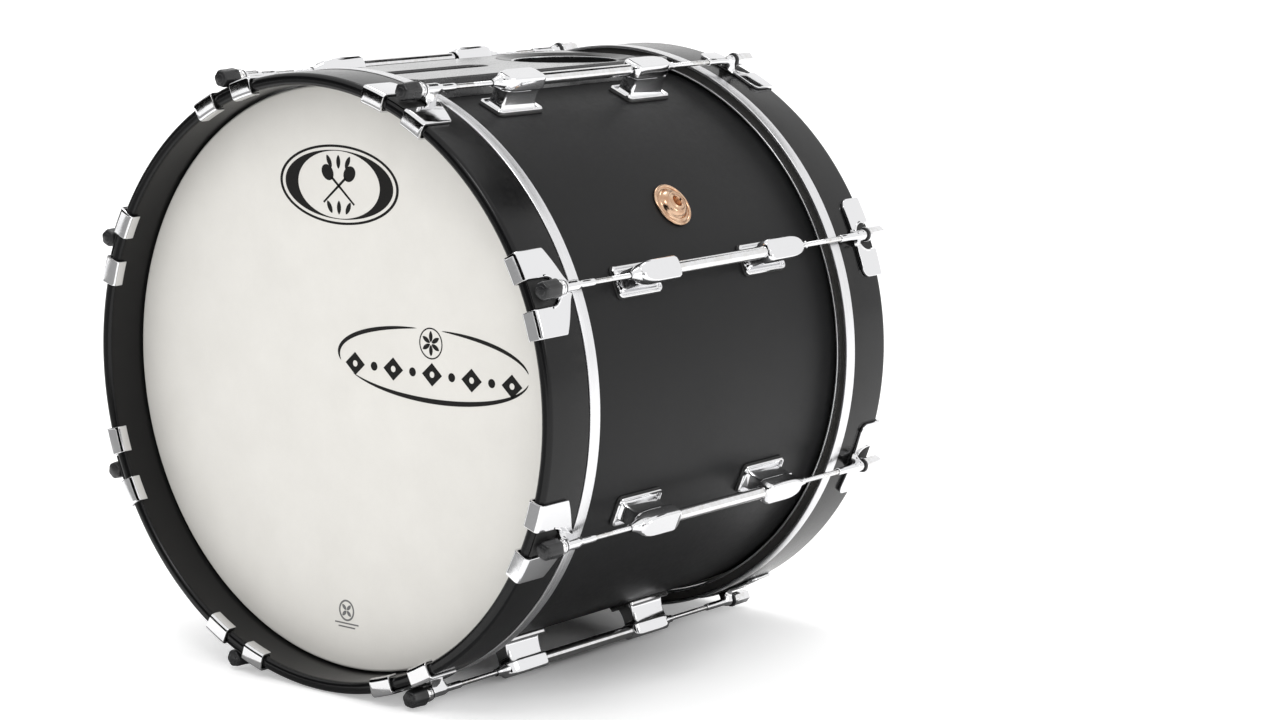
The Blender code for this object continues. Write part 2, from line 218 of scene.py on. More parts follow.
def mixed(tree, mask, first, second):
    """Two colours mixed by a mask."""
    node = plugged(tree, "ShaderNodeMix", {0: mask, 6: first, 7: second})
    node.data_type = "RGBA"
    return node.outputs[2]


def spot(tree):
    """A point's place in its own piece."""
    return tree.nodes.new("ShaderNodeTexCoord").outputs["Object"]


# Handling marks: large soft clouds and small rubs, as a roughness that wanders between two values
handling, ins, outs = group_start("handling_marks", {"Smooth": 0.1, "Rough": 0.2, "Cloud Size": 9.0},
                                  {"Roughness": "NodeSocketFloat"})
where = spot(handling)
clouds = noise(handling, where, ins["Cloud Size"], 4.0, 0.6)
rubs = noise(handling, where, 180.0, 2.0, 0.6)
marks = maths(handling, "MULTIPLY_ADD", rubs, 0.35, maths(handling, "MULTIPLY", clouds, 0.65))
handling.links.new(spread(handling, marks, 0.36, 0.64, ins["Smooth"], ins["Rough"]), outs["Roughness"])

# Pebbled skin: the fine bumps and slow waves of a sprayed or moulded surface, as a normal
pebbled, ins, outs = group_start("pebbled_skin", {"Grain Size": 900.0, "Grain": 0.5, "Wave": 0.3},
                                 {"Normal": "NodeSocketVector", "Grain": "NodeSocketFloat"})
where = spot(pebbled)
grain = noise(pebbled, where, ins["Grain Size"], 3.0, 0.65)
waves = noise(pebbled, where, 26.0, 2.0, 0.4)
height = maths(pebbled, "MULTIPLY_ADD", grain, ins["Grain"],
               maths(pebbled, "MULTIPLY", waves, maths(pebbled, "MULTIPLY", ins["Wave"], 8.0)))
pebbled.links.new(bumped(pebbled, height, 0.6, 0.0002), outs["Normal"])
pebbled.links.new(grain, outs["Grain"])

# Edge wear: a mask of the outer edges, broken up by noise, where lacquer or plating thins
worn, ins, outs = group_start("edge_wear", {"Amount": 1.0}, {"Mask": "NodeSocketFloat"})
pointed = worn.nodes.new("ShaderNodeNewGeometry").outputs["Pointiness"]
ridge = spread(worn, pointed, 0.53, 0.60, 0.0, 1.0)
broken = spread(worn, noise(worn, spot(worn), 140.0, 5.0, 0.7), 0.42, 0.62, 0.0, 1.0)
worn.links.new(maths(worn, "MULTIPLY", maths(worn, "MULTIPLY", ridge, broken), ins["Amount"]), outs["Mask"])


class Finish:
    """A material with a Principled BSDF and the small steps that dress it."""

    def __init__(self, name, roughness, metallic=0.0):
        self.material = bpy.data.materials.new(name)
        self.material.use_nodes = True
        self.tree = self.material.node_tree
        self.surface = self.tree.nodes["Principled BSDF"]
        self.surface.inputs["Roughness"].default_value = roughness
        self.surface.inputs["Metallic"].default_value = metallic

    def group(self, tree, **values):
        node = self.tree.nodes.new("ShaderNodeGroup")
        node.node_tree = tree
        for label, value in values.items():
            node.inputs[label.replace("_", " ")].default_value = value
        return node.outputs

    def feed(self, output, label):
        self.tree.links.new(output, self.surface.inputs[label])

    def colour(self, *rgb):
        self.surface.inputs["Base Color"].default_value = (*rgb, 1)

    def handled(self, smooth, rough, clouds=9.0):
        """Roughness from the handling marks."""
        self.feed(self.group(handling, Smooth=smooth, Rough=rough, Cloud_Size=clouds)["Roughness"], "Roughness")

    def pebbly(self, size, grain, wave):
        """Bumps from the pebbled skin, and its grain for use in a colour."""
        skin = self.group(pebbled, Grain_Size=size, Grain=grain, Wave=wave)
        self.feed(skin["Normal"], "Normal")
        return skin["Grain"]

    def blended(self, mask, first, second):
        """The base colour, mixed from two by a mask."""
        self.feed(mixed(self.tree, mask, first, second), "Base Color")

    def edged(self, amount, plain, thinned):
        """The base colour, changed where edges wear."""
        self.blended(self.group(worn, Amount=amount)["Mask"], plain, thinned)


def round_axis(tree):
    """How far a point is from the drum's axis, and its place along and round it."""
    split = plugged(tree, "ShaderNodeSeparateXYZ", {0: spot(tree)})
    up = maths(tree, "SUBTRACT", split.outputs["Z"], axis_height)
    across = split.outputs["X"]
    squares = maths(tree, "ADD", maths(tree, "MULTIPLY", across, across), maths(tree, "MULTIPLY", up, up))
    return maths(tree, "SQRT", squares), split.outputs["Y"], maths(tree, "ARCTAN2", up, across)


satin = Finish("satin_black_lacquer", 0.4)
satin.surface.inputs["Specular IOR Level"].default_value = 0.16
speckle = satin.pebbly(size=1100.0, grain=0.9, wave=0.10)
satin.handled(smooth=0.36, rough=0.46, clouds=5.0)
# Inside and at the bearing edges the lacquer stops, and the plies of the bare maple show
from_axis = round_axis(satin.tree)[0]
bare = spread(satin.tree, from_axis, shell_radius - 0.0012, shell_radius - 0.0006, 1.0, 0.0)
plies = maths(satin.tree, "FRACT", maths(satin.tree, "MULTIPLY", from_axis, ply_count / shell_wall))
maple = mixed(satin.tree, maths(satin.tree, "GREATER_THAN", plies, 0.5), (0.46, 0.28, 0.14), (0.60, 0.41, 0.23))
lacquer = mixed(satin.tree, speckle, (0.0080, 0.0080, 0.0084), (0.0150, 0.0150, 0.0155))
satin.blended(bare, lacquer, maple)

bevel_depth = 0.0045
outer_end = shell_end - 0.0015
crest = shell_radius - shell_wall + bevel_depth
shell_outline = [(shell_radius, outer_end), (shell_radius, -outer_end), (crest, -shell_end),
                 (shell_radius - shell_wall, -shell_end + bevel_depth),
                 (shell_radius - shell_wall, shell_end - bevel_depth), (crest, shell_end)]


def cut(blank, tool, operation):
    """Cuts a blank by a tool with an exact Boolean."""
    made = blank.modifiers.new("cut", "BOOLEAN")
    made.operation = operation
    made.solver = "EXACT"
    made.object = tool


def settled(blank, *tools):
    """The mesh that a blank's modifiers make. The blank and its tools are cleared away."""
    bpy.context.view_layer.update()
    view = bpy.context.evaluated_depsgraph_get()
    mesh = bpy.data.meshes.new_from_object(blank.evaluated_get(view))
    for used in (blank, *tools):
        bpy.data.objects.remove(used, do_unlink=True)
    return mesh


def drilled(mesh, holes):
    """The mesh with round holes bored through it: each is (radius, place), along its place's Z."""
    blank = on_set("blank", mesh)
    drills = []
    for radius, place in holes:
        bit = [(0, bore_start), (radius, bore_start), (radius, bore_end), (0, bore_end)]
        drills.append(on_set("drill", turned("drill", bit, 96, place)))
        cut(blank, drills[-1], "DIFFERENCE")
    return shaded(settled(blank, *drills))


def out_from_axis(degrees, along_axis=0.0):
    """Turns Z to point out from the drum's axis at an angle above +X."""
    lean = Matrix.Rotation(math.radians(90 - degrees), 4, "Y")
    return drum_axis @ Matrix.Translation((0, along_axis, 0)) @ lean


vent_low, vent_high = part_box("vent_grommet")
vent_middle = [(low + high) / 2 for low, high in zip(vent_low, vent_high)]
vent_degrees = math.degrees(math.atan2(vent_middle[2] - axis_height, vent_middle[0]))
dish_low, dish_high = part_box("dish_cup")
dish_y = (dish_low[1] + dish_high[1]) / 2
dish_radius = (dish_high[0] - dish_low[0]) / 2
shell_mesh = turned("shell_tube", eased(shell_outline, 0.0008), round_steps, drum_axis @ along_y)
shell_mesh = drilled(shell_mesh, [(vent_hole, out_from_axis(vent_degrees)), (dish_hole, out_from_axis(90, dish_y))])
fitted("shell_lacquered", shell_mesh, satin, "drum", ["shell"])


# --------------------
# Hoops. Each hoop is a bent ring of laminated maple with a bullnosed outer edge, sprayed and
# polished to a deep gloss black. It carries the claws, which pull it against the flesh hoop.
hoop_low, hoop_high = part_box("front_hoop")
hoop_radius = (hoop_high[2] - hoop_low[2]) / 2
hoop_wall = 0.012
hoop_nose = 0.0052
front_edge = hoop_low[1]
hoop_inner_end = hoop_high[1]
ends = (("front", 1), ("rear", -1))

gloss = Finish("gloss_black_lacquer", 0.16)
gloss.surface.inputs["Specular IOR Level"].default_value = 0.26
gloss.handled(smooth=0.16, rough=0.24, clouds=7.0)
gloss.pebbly(size=420.0, grain=0.12, wave=0.20)
gloss.edged(0.35, (0.0045, 0.0045, 0.0048), (0.050, 0.046, 0.042))


def along_axis(side):
    """Turns a profile's height into a place along Y, mirrored for the rear end."""
    return drum_axis @ Matrix.Scale(side, 4, (0, 1, 0)) @ along_y


def both_ends(name, outline, finish, node):
    """A turned solid at each end of the drum. It stands for that end's CAD node, if it has one."""
    for end_name, side in ends:
        nodes = [f"{end_name}_{node}"] if node else []
        fitted_turned(f"{end_name}_{name}", outline, round_steps, along_axis(side), finish, nodes)


hoop_inside = hoop_radius - hoop_wall
outline = arc((hoop_radius - hoop_nose, front_edge + hoop_nose), hoop_nose, 0, -90, 8)
outline += arc((hoop_inside + hoop_nose, front_edge + hoop_nose), hoop_nose, -90, -180, 8)
outline += [(hoop_inside, hoop_inner_end - 0.001), (hoop_inside + 0.001, hoop_inner_end),
            (hoop_radius - 0.001, hoop_inner_end), (hoop_radius, hoop_inner_end - 0.001)]
both_ends("hoop_lacquered", outline, gloss, "hoop")


# --------------------
# Flesh hoops. The rim of each head is a rolled aluminium channel. The claws and the hoop press
# on one side of it, and its open side, where the film is potted in dark resin, faces the shell.
band_low, band_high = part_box("front_flesh_hoop")
band_radius = (band_high[2] - band_low[2]) / 2
band_inner = 0.2803
band_start = band_low[1]
band_end = band_high[1]

brushed = Finish("rolled_aluminium", 0.3, 1.0)
streak_fine, streak_long = 2600.0, 9.0
from_axis, along, around = round_axis(brushed.tree)
lay = plugged(brushed.tree, "ShaderNodeCombineXYZ", {0: maths(brushed.tree, "MULTIPLY", from_axis, streak_fine),
                                                     1: maths(brushed.tree, "MULTIPLY", along, streak_fine),
                                                     2: maths(brushed.tree, "MULTIPLY", around, streak_long)})
streaks = noise(brushed.tree, lay.outputs[0], 1.0, 4.0, 0.6)
brushed.feed(spread(brushed.tree, streaks, 0.3, 0.7, 0.22, 0.40), "Roughness")
brushed.blended(streaks, (0.66, 0.66, 0.67), (0.84, 0.84, 0.85))
brushed.feed(bumped(brushed.tree, streaks, 0.25, 0.0001), "Normal")

resin = Finish("potting_resin", 0.5)
resin.pebbly(size=500.0, grain=1.0, wave=1.0)
resin.handled(smooth=0.4, rough=0.6)
resin.blended(noise(resin.tree, spot(resin.tree), 60.0), (0.015, 0.015, 0.015), (0.035, 0.033, 0.030))

wall = 0.0030
channel_floor = band_end - 0.0055
inner_lip = band_inner + wall * 0.7
outer_lip = band_radius - wall
channel = [(band_radius, band_start), (band_inner, band_start), (band_inner, band_end), (inner_lip, band_end),
           (inner_lip, channel_floor), (outer_lip, channel_floor), (outer_lip, band_end), (band_radius, band_end)]
gap = 0.0002
potting = [(inner_lip + gap, channel_floor + gap), (outer_lip - gap, channel_floor + gap),
           (outer_lip - gap, channel_floor + 0.0022), (inner_lip + gap, channel_floor + 0.0028)]
both_ends("flesh_hoop_rolled", eased(channel, 0.0009), brushed, "flesh_hoop")
both_ends("flesh_hoop_resin", eased(potting, 0.0004), resin, None)


# --------------------
# Heads. Each head is a disc of polyester film, sprayed with a warm white gritty coating, drawn
# over the bearing edge and down a short collar into its flesh hoop. The front one is printed.
head_low, head_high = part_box("front_head")
head_radius = (head_high[2] - head_low[2]) / 2
film_y = head_low[1]
film_thick = 0.0005
film_bend = 0.003
collar = head_high[1] - head_low[1]

coated = Finish("coated_film", 0.6)
where = spot(coated.tree)
grit = noise(coated.tree, where, 1500.0, 2.0, 0.7)
mottle = noise(coated.tree, where, 22.0, 5.0, 0.62)
toned = maths(coated.tree, "MULTIPLY_ADD", grit, 0.35, maths(coated.tree, "MULTIPLY", mottle, 0.65))
coated.blended(spread(coated.tree, toned, 0.35, 0.65, 0.0, 1.0), (0.665, 0.649, 0.612), (0.705, 0.689, 0.652))
coated.handled(smooth=0.50, rough=0.66, clouds=4.0)
coated.feed(bumped(coated.tree, grit, 0.35, 0.0002), "Normal")

film = [(0, film_y), (head_radius - film_bend, film_y)]
film += arc((head_radius - film_bend, film_y + film_bend), film_bend, -90, 0, 6)[1:]
film += [(head_radius, film_y + collar), (head_radius - film_thick, film_y + collar)]
film += arc((head_radius - film_bend, film_y + film_bend), film_bend - film_thick, 0, -90, 6)
film += [(0, film_y + film_thick)]
both_ends("head_film", film, coated, "head")


# --------------------
# Lugs. Each lug is a chromed steel tube between two die-cast pedestals. A pedestal has a wide
# flange on a rubber gasket, a waisted neck and a broad cap, and a sleeve runs through it to
# take the tension rod. Screws from inside the shell hold it down.
station_count = 8
station_degrees = [22.5 + 360 / station_count * index for index in range(station_count)]
rod_line = 0.305
lug_span = 0.0955
ferrule_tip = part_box("lug_1")[1][1] - lug_span
tube_radius = 0.0059
sleeve_radius = 0.0078
rod_hole = 0.0030
cap_top = 0.3130
cap_half_long = 0.029
cap_half_wide = 0.0108

chrome = Finish("polished_chrome", 0.08, 1.0)
chrome.handled(smooth=0.045, rough=0.13, clouds=34.0)
chrome.pebbly(size=260.0, grain=0.10, wave=0.10)
chrome.edged(0.5, (0.78, 0.78, 0.79), (0.62, 0.60, 0.57))

rubber = Finish("black_rubber", 0.7)
rubber.pebbly(size=700.0, grain=1.2, wave=0.3)
rubber.handled(smooth=0.55, rough=0.80, clouds=40.0)
rubber.edged(0.6, (0.012, 0.012, 0.012), (0.040, 0.038, 0.036))


def rounded_loop(half_long, half_wide, corner, steps=5):
    """(length, width) points of a rectangle with round corners."""
    made = []
    for quarter, (u, v) in enumerate(((1, 1), (-1, 1), (-1, -1), (1, -1))):
        centre = (u * (half_long - corner), v * (half_wide - corner))
        made += arc(centre, corner, 90 * quarter, 90 * quarter + 90, steps)
    return made


def held(value):
    """The value, held between 0 and 1."""
    return min(1.0, max(0.0, value))


def saddle_loop(loop, height, middle):
    """The loop laid on the shell: it hugs the curve low down and turns flat as it rises."""
    flatness = held((height - 0.004) / 0.008)
    radius = shell_radius + height
    made = []
    for length, width in loop:
        curved = math.sqrt(radius ** 2 - width ** 2)
        made.append((curved * (1 - flatness) + radius * flatness, middle + length, width))
    return made


# (half length, half width, corner, height above the shell) up the flange and the waisted neck
flange_and_neck = ((0.0304, 0.0144, 0.0040, 0.0013), (0.0310, 0.0150, 0.0045, 0.0019),
                   (0.0310, 0.0150, 0.0045, 0.0040), (0.0303, 0.0143, 0.0040, 0.0048),
                   (0.0292, 0.0132, 0.0036, 0.0048), (0.0286, 0.0126, 0.0034, 0.0042),
                   (0.0280, 0.0120, 0.0032, 0.0030), (0.0262, 0.0104, 0.0030, 0.0031),
                   (0.0252, 0.0094, 0.0030, 0.0044), (0.0243, 0.0089, 0.0030, 0.0080),
                   (0.0236, 0.0087, 0.0030, 0.0125), (0.0234, 0.0087, 0.0030, 0.0170),
                   (0.0238, 0.0089, 0.0032, 0.0200), (0.0246, 0.0093, 0.0036, 0.0222))


def cap_loop(outward):
    """The cap seen from above: square with round corners inboard, drawn to a nose outboard."""
    corner, nose_start = 0.0060, 0.006
    made = arc((-cap_half_long + corner, -cap_half_wide + corner), corner, 180, 270, 6)
    nose = []
    for i in range(11):
        t = i / 10
        length = nose_start + (cap_half_long - nose_start) * math.sin(t * math.pi / 2)
        nose.append((length, -cap_half_wide * math.cos(t * math.pi / 2) ** 0.75))
    made += nose
    made += [(length, -width) for length, width in reversed(nose[:-1])]
    made += arc((-cap_half_long + corner, cap_half_wide - corner), corner, 90, 180, 6)
    return [(length * outward, width * outward) for length, width in made]


def lug_mesh():
    metal = bmesh.new()
    for outward in (-1, 1):
        middle = outward * lug_span
        loops = [saddle_loop(rounded_loop(long, wide, corner), height, middle)
                 for long, wide, corner, height in flange_and_neck]
        skin_into(metal, loops)
        flat_cap = cap_loop(outward)
        levels = ((0.2982, 0.88), (0.2988, 0.95), (0.2998, 0.99), (0.3010, 1.0), (0.3092, 1.0),
                  (0.3108, 0.985), (0.3120, 0.95), (cap_top, 0.88))
        skin_into(metal, [[(radius, middle + u * size, v * size) for u, v in flat_cap] for radius, size in levels])
        sleeve = [(rod_hole, -0.028), (tube_radius + 0.0008, -0.028)]
        sleeve += shifted([(-0.0006, -0.0275), (0, -0.0262), (0, 0.022), (-0.0008, 0.026), (-0.0021, 0.030),
                           (-0.0034, 0.0335), (-0.0041, 0.036), (-0.0044, ferrule_tip - 0.0006)], sleeve_radius, 0)
        sleeve += [(rod_hole + 0.0007, ferrule_tip - 0.0001), (rod_hole, ferrule_tip - 0.0008)]
        place = Matrix.Translation((rod_line, middle, 0)) @ Matrix.Scale(outward, 4, (0, 1, 0)) @ along_y
        turn_into(metal, sleeve, 48, place)
    inboard = lug_span - 0.020
    tube = [(0.0040, -inboard), (tube_radius, -inboard), (tube_radius, inboard), (0.0040, inboard)]
    turn_into(metal, tube, 48, Matrix.Translation((rod_line, 0, 0)) @ along_y)
    return off_the_bench(metal, "tube_lug", 30)


def gasket_mesh():
    """The rubber gaskets under a lug's two flanges."""
    soft = bmesh.new()
    for outward in (-1, 1):
        loops = [saddle_loop(rounded_loop(0.0316 + grow, 0.0158 + grow, 0.0052), height, outward * lug_span)
                 for grow, height in ((-0.0003, 0.0001), (0, 0.0004), (0, 0.0014), (-0.0004, 0.0018))]
        skin_into(soft, loops)
    return off_the_bench(soft, "lug_gasket")


def at_station(degrees):
    """Turns a piece drawn at +X to its station round the drum."""
    return drum_axis @ Matrix.Rotation(-math.radians(degrees), 4, "Y")


shared_lug = lug_mesh()
shared_gasket = gasket_mesh()
for index, degrees in enumerate(station_degrees, 1):
    place = at_station(degrees)
    fitted(f"lug_{index}_cast", shared_lug, chrome, "drum", [f"lug_{index}"], place)
    fitted(f"lug_{index}_gaskets", shared_gasket, rubber, "drum", [], place)


# --------------------
# Claws. A claw is a chromed steel plate bent over the hoop by two hooks, with a round-ended
# window between them and a boss behind it that narrows to a nose. The rod passes through the
# boss, and its head bears on the boss's front face. Thin rubber keeps the plate off the hoop.
claw_half = 0.0403
claw_gap = 0.0003
plate_thick = 0.0030
hook_thick = 0.0025
hook_lip = 0.009
window_half = 0.0135
boss_start = 0.0313
rear_shift = 0.0058
boss_radius = 0.0053
nose_radius = 0.0036
boss_sweep = 172
bead_round = 0.0011
liner_half = 0.0125
bend_strips = 28


def solid_from(outline_points, start, end, place=Matrix.Identity(4)):
    """A flat outline as a solid from start to end along its own Z."""
    bench = bmesh.new()
    skin_into(bench, [[(u, v, level) for u, v in outline_points] for level in (start, end)], place)
    return on_set("blank", off_the_bench(bench, "blank"))


def sliced(bench, point, across):
    """Cuts new edges through everything on the bench along a plane."""
    geometry = bench.verts[:] + bench.edges[:] + bench.faces[:]
    bmesh.ops.bisect_plane(bench, geom=geometry, plane_co=point, plane_no=across)


def bent_to_hoop(bench):
    """Bends what was drawn flat (height, depth, width) round the hoop's curve."""
    for strip in range(1, bend_strips):
        sliced(bench, (0, 0, -claw_half + 2 * claw_half * strip / bend_strips), (0, 0, 1))
    for vertex in bench.verts:
        height, depth, width = vertex.co
        angle = width / hoop_radius
        radius = hoop_radius + height
        vertex.co = (radius * math.cos(angle), depth, radius * math.sin(angle))


def claw_plate(plate_end, window_depth, side_line):
    """The plate and hooks: a folded strip, trimmed to the claw's outline and eased, still flat."""
    out, nose = claw_gap + plate_thick, -claw_gap - hook_thick
    lip_out = -hoop_wall - 0.0006
    lip_in = lip_out - hook_thick
    front_bend, lip_bend, inner_bend, spare = 0.0040, 0.0045, 0.0012, 0.002
    fold = [(out, plate_end + spare)] + arc((out - front_bend, nose + front_bend), front_bend, 0, -90, 8)
    fold += arc((lip_in + lip_bend, nose + lip_bend), lip_bend, -90, -180, 8) + [(lip_in, hook_lip)]
    fold += [(lip_out, hook_lip), (lip_out, -claw_gap + inner_bend), (lip_out + inner_bend, -claw_gap),
             (claw_gap - inner_bend, -claw_gap), (claw_gap, -claw_gap + inner_bend), (claw_gap, plate_end + spare)]
    strip = solid_from(fold, -claw_half, claw_half)
    outside = nose - 0.003
    shape = [(outside, claw_half + 0.001)] + side_line
    shape += [(u, -v) for u, v in reversed(shape)] + [(outside, -window_half)]
    shape += arc((window_depth - window_half, 0), window_half, -90, 90, 20) + [(outside, window_half)]
    across = Matrix(((0, 0, 1, 0), (1, 0, 0, 0), (0, 1, 0, 0), (0, 0, 0, 1)))
    trim = solid_from(shape, -0.03, 0.02, across)
    cut(strip, trim, "INTERSECT")
    ease = strip.modifiers.new("ease", "BEVEL")
    ease.width = 0.0006
    ease.segments = 3
    ease.limit_method = "ANGLE"
    ease.angle_limit = math.radians(50)
    return settled(strip, trim)


def hood_loop(depth, root, free):
    """A section of the boss: spread to the plate at its root, round where it runs free."""
    freed = held((depth - free) / 0.0085)
    freed = freed * freed * (3 - 2 * freed)
    radius = boss_radius + (nose_radius - boss_radius) * freed
    spread_out = 0.0095 - 0.0047 * held((depth - root) / 0.012)
    low = hoop_radius + claw_gap + plate_thick * 0.5
    made = []
    for i in range(31):
        angle = math.radians(boss_sweep - 2 * boss_sweep * i / 30)
        round_point = (rod_line + radius * math.cos(angle), radius * math.sin(angle))
        rise = (boss_sweep - abs(math.degrees(angle))) / (boss_sweep - 90)
        if rise < 1:
            width = radius + (spread_out - radius) * (1 - rise) ** 2.4
            flared = (low + (rod_line - low) * rise, math.copysign(width, angle))
        else:
            flared = round_point
        made.append(tuple(f * (1 - freed) + r * freed for f, r in zip(flared, round_point)))
    return [(height, depth, width) for height, width in made]


def claw_mesh(plate, window_depth, start, root, free, nose_end):
    """The whole claw: its plate, a bead round the window, and the boss."""
    bench = bmesh.new()
    bench.from_mesh(plate)
    bead = []
    for step in range(25):
        angle = math.radians(-90 + 180 * step / 24)
        middle = Vector((claw_gap + plate_thick - 0.0002, window_depth - window_half, 0))
        spoke = Vector((0, math.cos(angle), math.sin(angle)))
        bead.append([middle + spoke * (window_half + 0.0013 + bead_round * math.cos(t))
                     + Vector((bead_round * math.sin(t), 0, 0)) for t in (math.tau * i / 8 for i in range(8))])
    skin_into(bench, bead)
    bent_to_hoop(bench)
    depths = [start, start + 0.0003, start + 0.001]
    depths += [root + 0.001 * i for i in range(24) if root + 0.001 * i < free + 0.009]
    depths += [free + 0.010, (free + 0.010 + nose_end) / 2, nose_end - 0.0012, nose_end - 0.0004, nose_end]
    tight = {0: 0.84, 1: 0.94, len(depths) - 2: 0.94, len(depths) - 1: 0.84}
    loops = []
    for row, depth in enumerate(depths):
        size = tight.get(row, 1.0)
        loops.append([(rod_line + (height - rod_line) * size, at, width * size)
                      for height, at, width in hood_loop(depth, root, free)])
    skin_into(bench, loops)
    return off_the_bench(bench, "claw", 30)


def liner_mesh(window_depth):
    """The rubber liner that shows in the claw's window, over the hoop."""
    bench = bmesh.new()
    outline_points = [(0.0015, liner_half)]
    outline_points += arc((window_depth - window_half - 0.001, 0), liner_half, 90, -90, 16) + [(0.0015, -liner_half)]
    skin_into(bench, [[(height, depth, width) for depth, width in outline_points] for height in (0.0001, 0.0012)],
              bevel=0.0003)
    bent_to_hoop(bench)
    return off_the_bench(bench, "claw_liner")


def claw_place(end_name, degrees):
    """The claw's place: depths count from the hoop's edge, and the rear ones are turned over."""
    over = Matrix.Rotation(math.pi, 4, "X") if end_name == "rear" else Matrix.Identity(4)
    return at_station(degrees) @ over @ Matrix.Translation((0, front_edge, 0))


drawn_in = []
for i in range(9):
    t = i / 8
    drawn_in.append((0.0345 + 0.0170 * (t + 0.16 * math.sin(math.pi * t) * (1 - t)),
                     (claw_half - 0.0022) * (1 - t) + 0.0055 * t - 0.0045 * math.sin(math.pi * t)))
front_side = [(0.031, claw_half + 0.001), (0.0335, claw_half - 0.0006)] + drawn_in
rear_side = [(0.0192, claw_half + 0.001)] + arc((0.0190, claw_half - 0.0098), 0.0100, 88, 0, 8) + [(0.0292, 0.020)]
front_window, rear_window = 0.0355, 0.0245
claws = {"front": claw_mesh(claw_plate(0.0515, front_window, front_side), front_window, start=boss_start, root=0.0360,
                            free=0.0475, nose_end=0.0739),
         "rear": claw_mesh(claw_plate(0.0300, rear_window, rear_side), rear_window, start=boss_start - rear_shift,
                           root=0.0272, free=0.0300, nose_end=0.0659)}
liners = {"front": liner_mesh(front_window), "rear": liner_mesh(rear_window)}
for end_name in claws:
    for index, degrees in enumerate(station_degrees, 1):
        body = f"{end_name}_claw_{index}"
        place = claw_place(end_name, degrees)
        fitted(body + "_plate", claws[end_name], chrome, body, [body], place)
        fitted(body + "_liner", liners[end_name], rubber, body, [], place)


# --------------------
# Tension rods. A rod is a long plated steel screw with a hexagon head, a washer and a nylon ring
# under it, and a plain stem up to its thread. The front heads wear push-on black nylon caps.
rod_radius = 0.0025
head_start = 0.0031
head_flat = 0.0060
washer_start = 0.0268
nylon_start = 0.0292
rod_end = 0.1748
thread_start = 0.098
thread_end = 0.142
thread_pitch = 0.0254 / 24
thread_depth = 0.00028
cap_start = 0.0022
cap_radius = 0.0083
washer_radius = 0.0074
ring_radius = 0.0069

steel = Finish("plated_screw_steel", 0.12, 1.0)
steel.handled(smooth=0.09, rough=0.22, clouds=60.0)
steel.pebbly(size=500.0, grain=0.15, wave=0.05)
steel.edged(0.8, (0.80, 0.80, 0.81), (0.58, 0.56, 0.53))

nylon = Finish("black_nylon", 0.32)
nylon.pebbly(size=600.0, grain=0.4, wave=0.1)
nylon.handled(smooth=0.24, rough=0.42, clouds=50.0)
nylon.edged(0.6, (0.015, 0.015, 0.016), (0.05, 0.05, 0.05))


def thread_into(bench, place):
    """A cut thread: a stem whose surface rises and falls along a helix."""
    steps_round, steps_turn = 20, 6
    rows = round((thread_end - thread_start) / thread_pitch * steps_turn)
    loops = []
    for row in range(rows + 1):
        along_rod = thread_start + (thread_end - thread_start) * row / rows
        fade = min(1.0, (row / steps_turn) / 1.5, ((rows - row) / steps_turn) / 1.5)
        loop = []
        for i in range(steps_round):
            angle = math.tau * i / steps_round
            phase = (along_rod / thread_pitch - i / steps_round) % 1.0
            ridge = abs(2 * phase - 1)
            radius = rod_radius - thread_depth * fade * (1 - ridge)
            loop.append((radius * math.cos(angle), radius * math.sin(angle), along_rod))
        loops.append(loop)
    skin_into(bench, loops, place)


def rod_mesh():
    bench = bmesh.new()
    corner = head_flat / math.cos(math.pi / 6)
    hexagon = [(corner * math.cos(math.tau * i / 6), corner * math.sin(math.tau * i / 6)) for i in range(6)]
    hexagon = eased(hexagon, 0.0006, 2)
    sizes = ((head_start, 0.74), (head_start + 0.0003, 0.84), (head_start + 0.0012, 0.95),
             (head_start + 0.0026, 1.0), (washer_start, 1.0))
    skin_into(bench, [[(u * size, v * size, depth) for u, v in hexagon] for depth, size in sizes], along_y)
    dome = shifted([(0, -0.0001), (0.0028, 0.0001), (0.0040, 0.0009), (0, 0.0009)], 0, head_start)
    turn_into(bench, dome, 32, along_y)
    collar_ring = shifted([(0, -0.0030), (head_flat + 0.0002, -0.0030), (head_flat + 0.0009, -0.0010),
                           (head_flat + 0.0009, 0.0004), (0, 0.0004)], 0, washer_start)
    turn_into(bench, collar_ring, 48, along_y)
    washer = [(0, washer_start), (washer_radius, washer_start), (washer_radius, nylon_start - 0.0001),
              (0, nylon_start - 0.0001)]
    turn_into(bench, eased(washer, 0.0006), 48, along_y)
    stem = [(0, nylon_start), (rod_radius, nylon_start), (rod_radius, thread_start + 0.0001),
            (0, thread_start + 0.0001)]
    turn_into(bench, stem, 32, along_y)
    thread_into(bench, along_y)
    tip_radius = rod_radius - 0.0002
    tip = [(0, thread_end - 0.0001), (tip_radius, thread_end - 0.0001), (tip_radius, rod_end - 0.001),
           (rod_radius - 0.0010, rod_end), (0, rod_end)]
    turn_into(bench, tip, 24, along_y)
    return off_the_bench(bench, "tension_rod", 30)


def nylon_mesh():
    inside, end = rod_radius + 0.0001, boss_start - 0.0002
    ring = [(inside, nylon_start), (ring_radius, nylon_start), (ring_radius, end), (inside, end)]
    return turned("nylon_ring", eased(ring, 0.0004), 40, along_y)


